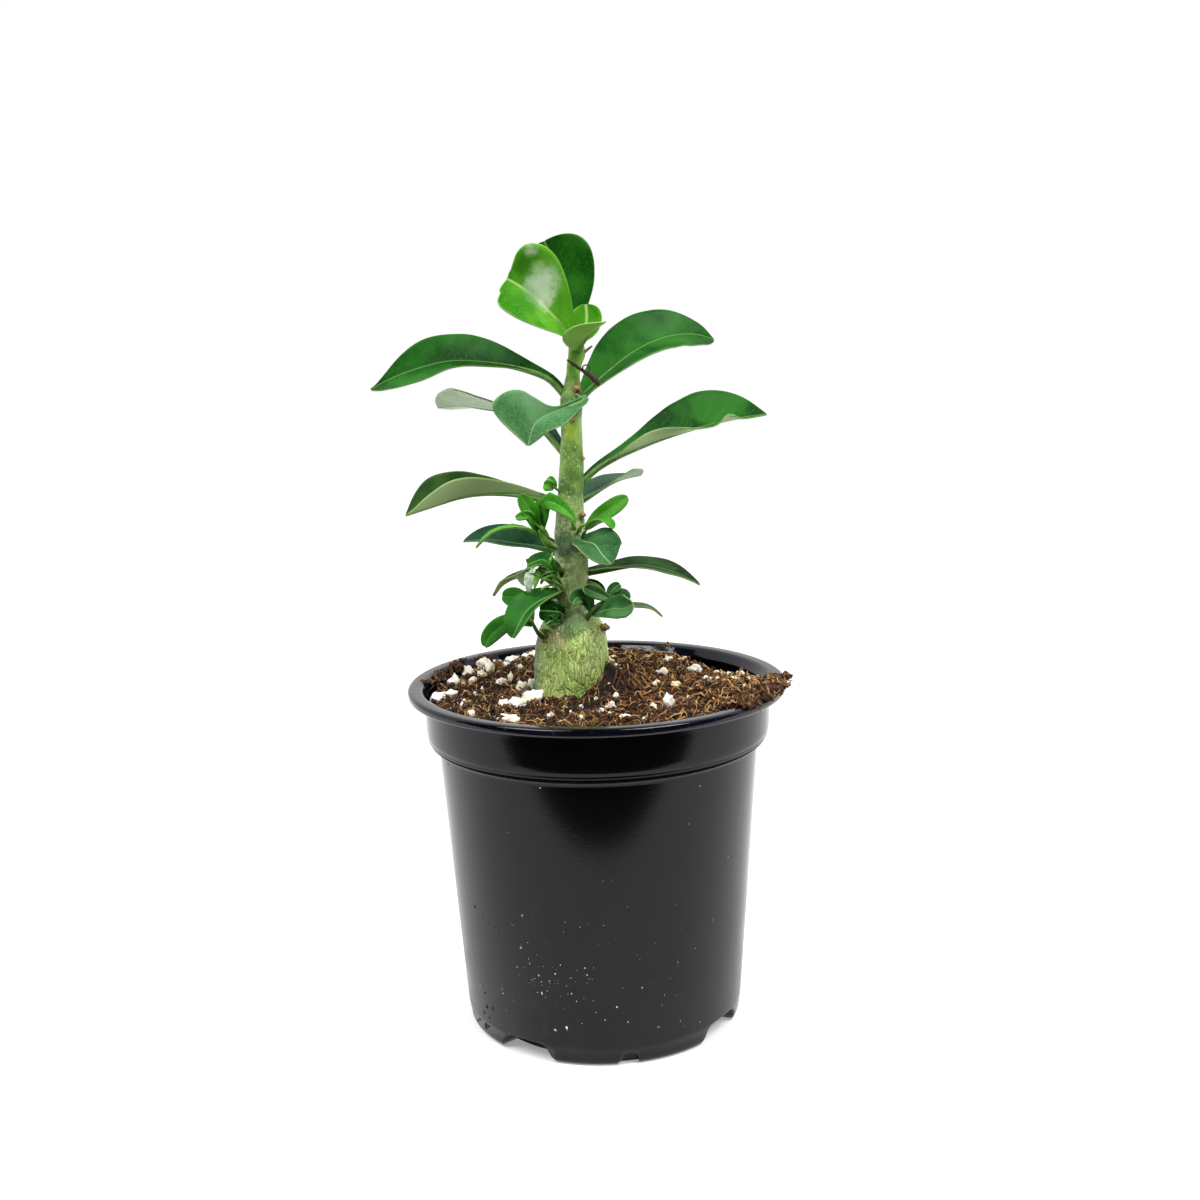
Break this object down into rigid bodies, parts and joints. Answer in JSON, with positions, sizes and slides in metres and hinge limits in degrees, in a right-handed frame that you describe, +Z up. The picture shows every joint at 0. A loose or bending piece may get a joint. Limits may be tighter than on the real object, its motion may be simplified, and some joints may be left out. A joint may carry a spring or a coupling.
{
  "type": "potted desert rose adenium",
  "caption": "Young desert rose with a swollen green stem base, glossy obovate leaves and leafy side shoots, in gritty soil in a black round nursery pot with a stepped band and rim.",
  "frame": {"origin": "centre of the pot's flat underside, 0.3 mm above the surface that its three small feet stand on", "axes": "+Z up along the pot's axis; the view from the front looks along +Y with +X to the right"},
  "size_m": [0.1218, 0.1142, 0.2371],
  "materials": {
    "pot": "thin black moulded plastic, satin on the wall and glossier on the rim",
    "soil": "dark peat with coir fibres and white perlite, matt",
    "stem": "green skin with fine upright fissures on the swollen base, satin",
    "dry_twig": "dark brown dried stalk, matt",
    "leaf": "glossy deep green with a pale midrib, paler matt underside",
    "young_leaf": "satin fresh green"
  },
  "bodies": {
    "root": {"pot": "pot", "soil": "soil", "stem": "stem", "dry_twig": "dry_twig", "leaf_apex_front": "leaf", "leaf_apex_back": "leaf", "leaf_apex_right": "leaf", "leaf_apex_small": "leaf", "leaf_upper_left": "leaf", "leaf_upper_right": "leaf", "leaf_mid_right": "leaf", "leaf_mid_left": "leaf", "leaf_back_left": "leaf", "leaf_front": "leaf", "leaf_back_right": "leaf", "leaf_low_left": "leaf", "leaf_low_right": "leaf", "leaf_fold_right": "leaf", "leaf_thin_upper": "leaf", "leaf_thin_lower": "leaf", "leaf_thin_left": "leaf", "leaf_drooping_left": "leaf", "shoot_axil": "young_leaf", "shoot_upper_left": "young_leaf", "shoot_upper_right": "young_leaf", "shoot_middle_left": "young_leaf", "shoot_low_left": "young_leaf", "shoot_low_front": "young_leaf", "shoot_low_right": "young_leaf"}
  },
  "joints": []
}
